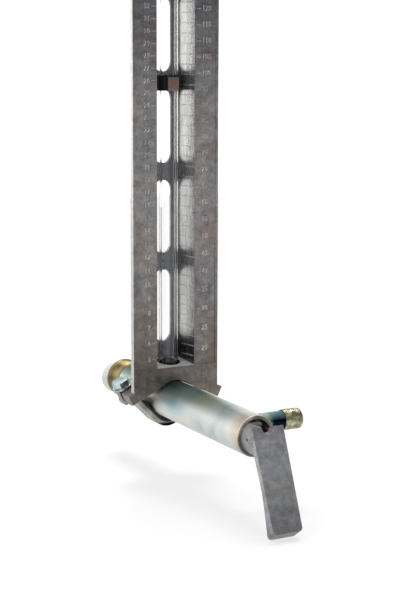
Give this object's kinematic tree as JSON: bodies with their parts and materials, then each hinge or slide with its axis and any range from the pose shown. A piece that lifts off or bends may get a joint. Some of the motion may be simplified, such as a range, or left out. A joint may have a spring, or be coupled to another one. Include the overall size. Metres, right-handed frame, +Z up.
{
  "type": "drum level gauge",
  "caption": "Upright graduated rail with a sight tube and sliding level marker, clamped on a drum valve barrel with a side outlet and a lever.",
  "frame": {"origin": "centre of the barrel's rear end, on the barrel's axis", "axes": "+Y along the barrel into the drum, so the scale faces -Y; +Z up along the sight tube; +X to the right as seen from the front, the side of the outlet"},
  "size_m": [0.087, 0.247, 0.6048],
  "materials": {
    "cast_body": "satin, die cast, tumbled",
    "plated_steel": "zinc plated, slightly iridescent",
    "white_plastic": "moulded, semi gloss",
    "cast_lever": "cast, matt",
    "black_rubber": "matt",
    "clear_tube": "clear, smooth",
    "black_plastic": "moulded, matt",
    "strap_steel": "zinc plated sheet",
    "bolt_steel": "blue zinc plated",
    "brown_plastic": "moulded, matt"
  },
  "bodies": {
    "gauge": {"gauge_body": "cast_body", "barrel": "plated_steel", "outlet_nipple": "plated_steel", "inlet_bush": "white_plastic", "core_pin": "plated_steel", "sight_tube": "clear_tube", "tube_foot_seal": "black_rubber", "tube_head_seal": "black_rubber", "tube_cap": "black_plastic", "port_seal": "black_rubber", "clamp_strap": "strap_steel", "strap_liner": "black_rubber", "clamp_bolt_left": "bolt_steel", "clamp_bolt_right": "bolt_steel", "clamp_washer_left": "bolt_steel", "clamp_washer_right": "bolt_steel"},
    "valve": {"valve_lever": "cast_lever", "core_seal_front": "black_rubber", "core_seal_rear": "black_rubber"},
    "marker": {"marker_clip": "black_plastic", "marker_pointer": "brown_plastic"}
  },
  "joints": [
    {"name": "valve_turn", "type": "hinge", "parent": "gauge", "child": "valve", "pos_m": [0, -0.165, 0], "axis": [0, -1, 0], "range_deg": [0, 90]},
    {"name": "marker_slide", "type": "slide", "parent": "gauge", "child": "marker", "axis": [0, 0, 1], "range_m": [-0.18, 0.3]}
  ]
}
